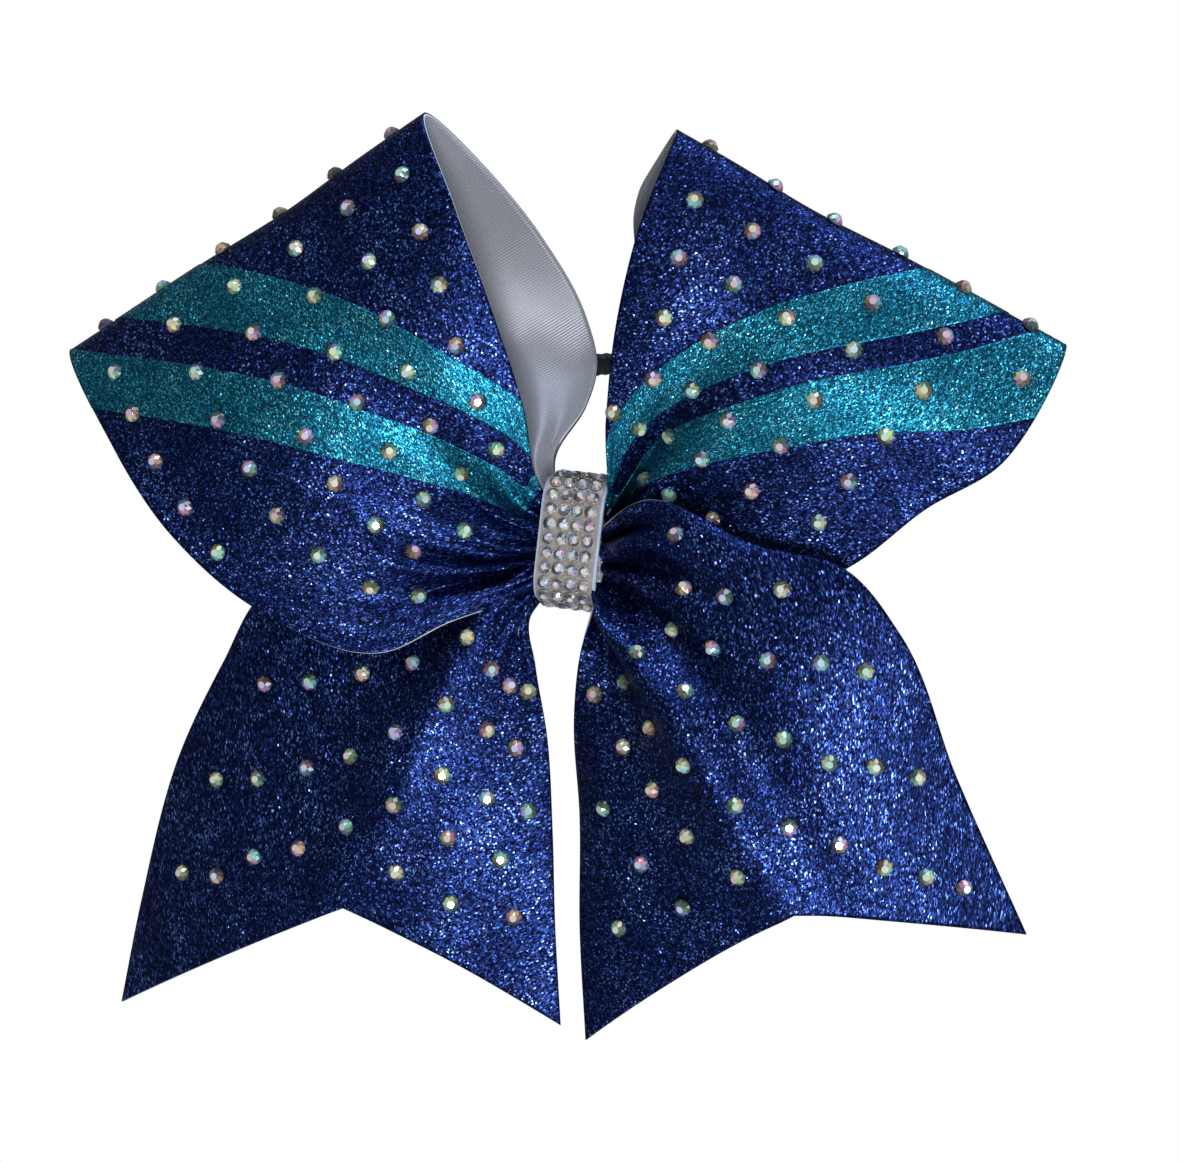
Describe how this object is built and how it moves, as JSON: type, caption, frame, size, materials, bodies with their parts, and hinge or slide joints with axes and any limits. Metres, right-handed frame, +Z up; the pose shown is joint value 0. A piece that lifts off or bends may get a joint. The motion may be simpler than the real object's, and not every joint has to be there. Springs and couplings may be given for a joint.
{
  "type": "cheer hair bow",
  "caption": "Large cheer hair bow: two glittered ribbon loops and two swallow-tailed ends, crystals all over, a stone-set knot and a hair elastic behind.",
  "frame": {"origin": "middle of the flat back of the knot, which lies against the hair", "axes": "+X along the bow's width, -Y the glittered front, +Y towards the head, +Z up"},
  "size_m": [0.1762, 0.0546, 0.16],
  "materials": {
    "grosgrain": "ribbed satin grosgrain, silver grey",
    "navy_glitter": "coarse navy glitter film",
    "teal_glitter": "coarse teal glitter film",
    "crystal": "faceted aurora crystal, foil backed",
    "knot_crystal": "faceted clear crystal in cup chain",
    "satin_band": "pale blue-white satin ribbon",
    "silver_mesh": "bright silver mesh",
    "thread": "waxed thread",
    "glue": "clear-grey hot-melt",
    "braided_elastic": "black braided elastic",
    "crimp_metal": "crimped metal sleeve"
  },
  "bodies": {
    "root": {"ribbon_gather": "grosgrain", "cinch_tie": "thread", "glue_pad": "glue", "knot_band": "satin_band", "knot_stone_mesh": "silver_mesh", "knot_stones": "knot_crystal"},
    "left_loop": {"left_loop_backing": "grosgrain", "left_loop_glitter": "navy_glitter", "left_loop_stripe_upper": "teal_glitter", "left_loop_stripe_lower": "teal_glitter", "left_loop_stones": "crystal"},
    "right_loop": {"right_loop_backing": "grosgrain", "right_loop_glitter": "navy_glitter", "right_loop_stripe_upper": "teal_glitter", "right_loop_stripe_lower": "teal_glitter", "right_loop_stones": "crystal"},
    "left_tail": {"left_tail_backing": "grosgrain", "left_tail_glitter": "navy_glitter", "left_tail_stones": "crystal"},
    "right_tail": {"right_tail_backing": "grosgrain", "right_tail_glitter": "navy_glitter", "right_tail_stones": "crystal"},
    "elastic": {"hair_elastic": "braided_elastic", "elastic_joiner": "crimp_metal"}
  },
  "joints": [
    {"name": "elastic_swing", "type": "hinge", "parent": "root", "child": "elastic", "pos_m": [0, -0.0051, 0], "axis": [1, 0, 0], "range_deg": [-130, 8]},
    {"name": "left_tail_swing", "type": "hinge", "parent": "root", "child": "left_tail", "pos_m": [-0.006, -0.013, -0.004], "axis": [1, 0, 0], "range_deg": [-4, 15], "stiffness_Nm_per_rad": 0.02},
    {"name": "right_tail_swing", "type": "hinge", "parent": "root", "child": "right_tail", "pos_m": [0.006, -0.0165, 0.001], "axis": [1, 0, 0], "range_deg": [-18, 4], "stiffness_Nm_per_rad": 0.02},
    {"name": "left_loop_flex", "type": "hinge", "parent": "root", "child": "left_loop", "pos_m": [-0.006, -0.0135, 0], "axis": [0, 0, 1], "range_deg": [-5, 2], "stiffness_Nm_per_rad": 0.03},
    {"name": "right_loop_flex", "type": "hinge", "parent": "root", "child": "right_loop", "pos_m": [0.006, -0.0125, 0], "axis": [0, 0, 1], "range_deg": [-2, 5], "stiffness_Nm_per_rad": 0.03}
  ]
}
